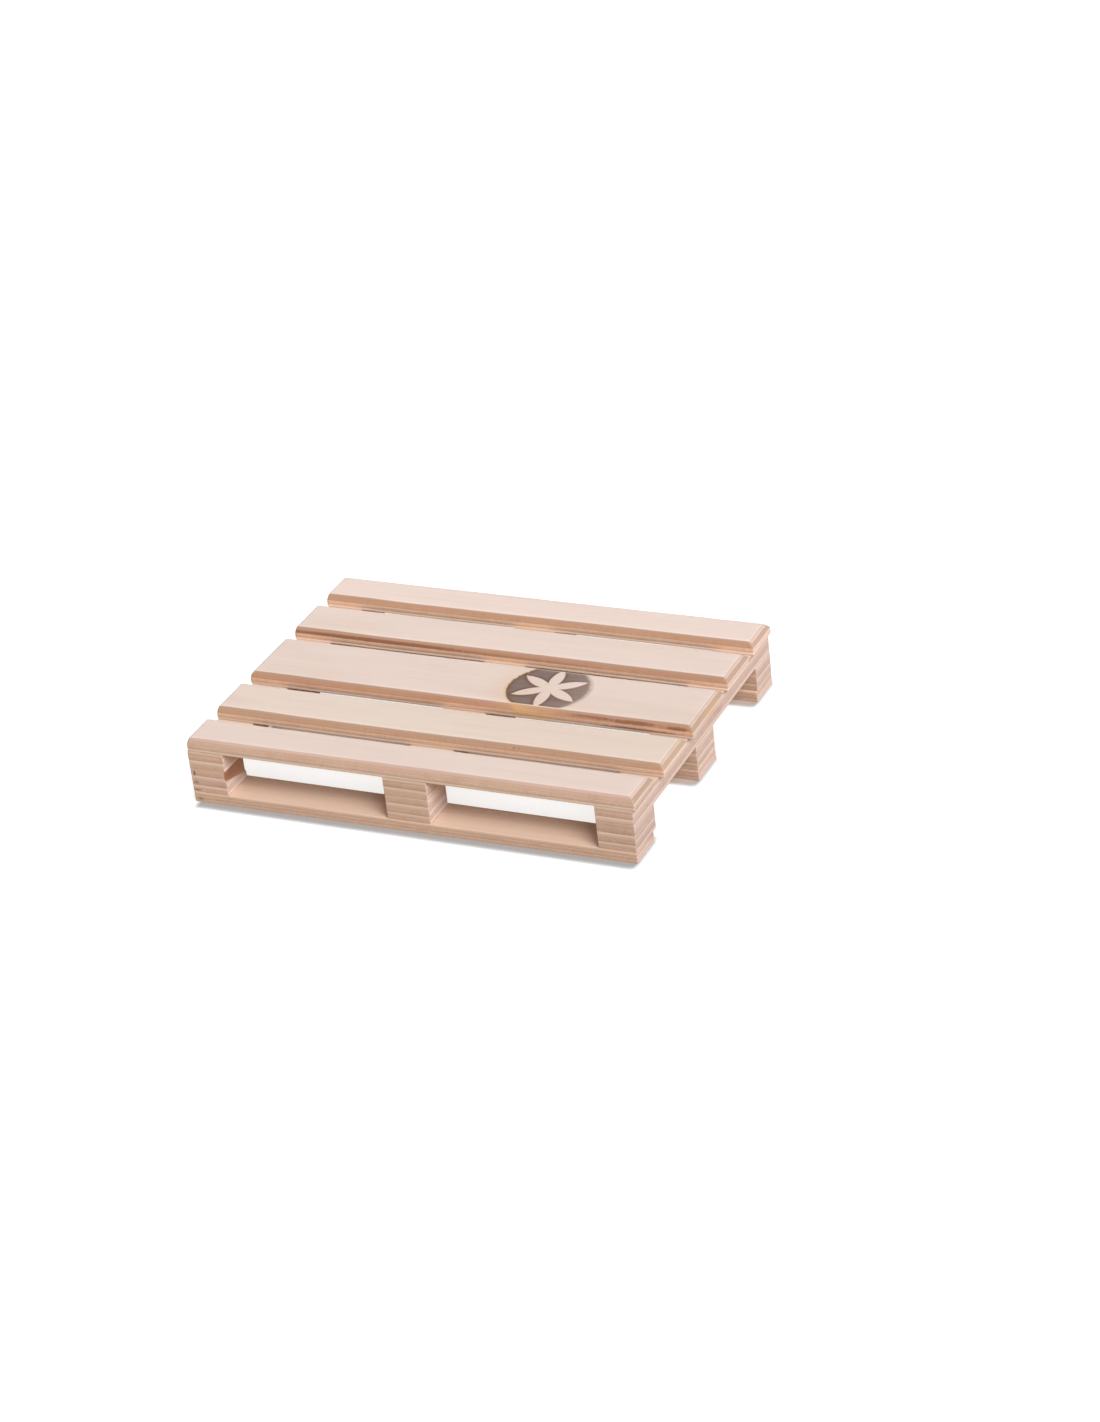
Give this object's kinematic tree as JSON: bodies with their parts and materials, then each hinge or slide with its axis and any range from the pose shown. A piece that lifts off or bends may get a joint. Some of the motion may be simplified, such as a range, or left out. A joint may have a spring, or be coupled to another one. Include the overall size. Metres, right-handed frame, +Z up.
{
  "type": "miniature wooden pallet",
  "caption": "Small plywood pallet with bevelled deck boards on stringers, blocks and bottom boards, open for forks from all four sides.",
  "frame": {"origin": "on the resting surface, below the middle of the pallet", "axes": "+X along the deck boards, +Y from the front edge to the rear edge, +Z up"},
  "size_m": [0.1218, 0.09, 0.0178],
  "materials": {
    "bottom_plywood": "raw sanded softwood plywood",
    "block_plywood": "raw sawn plywood, veneer edges showing",
    "stringer_plywood": "raw sawn plywood, veneer edges showing",
    "deck_plywood": "raw sanded softwood plywood, bevelled edges"
  },
  "bodies": {
    "root": {"bottom_board_front": "bottom_plywood", "bottom_board_middle": "bottom_plywood", "bottom_board_rear": "bottom_plywood", "block_front_left": "block_plywood", "block_front_middle": "block_plywood", "block_front_right": "block_plywood", "block_middle_left": "block_plywood", "block_middle_middle": "block_plywood", "block_middle_right": "block_plywood", "block_rear_left": "block_plywood", "block_rear_middle": "block_plywood", "block_rear_right": "block_plywood", "stringer_left": "stringer_plywood", "stringer_middle": "stringer_plywood", "stringer_right": "stringer_plywood", "deck_board_front": "deck_plywood", "deck_board_front_inner": "deck_plywood", "deck_board_centre": "deck_plywood", "deck_board_rear_inner": "deck_plywood", "deck_board_rear": "deck_plywood"}
  },
  "joints": []
}
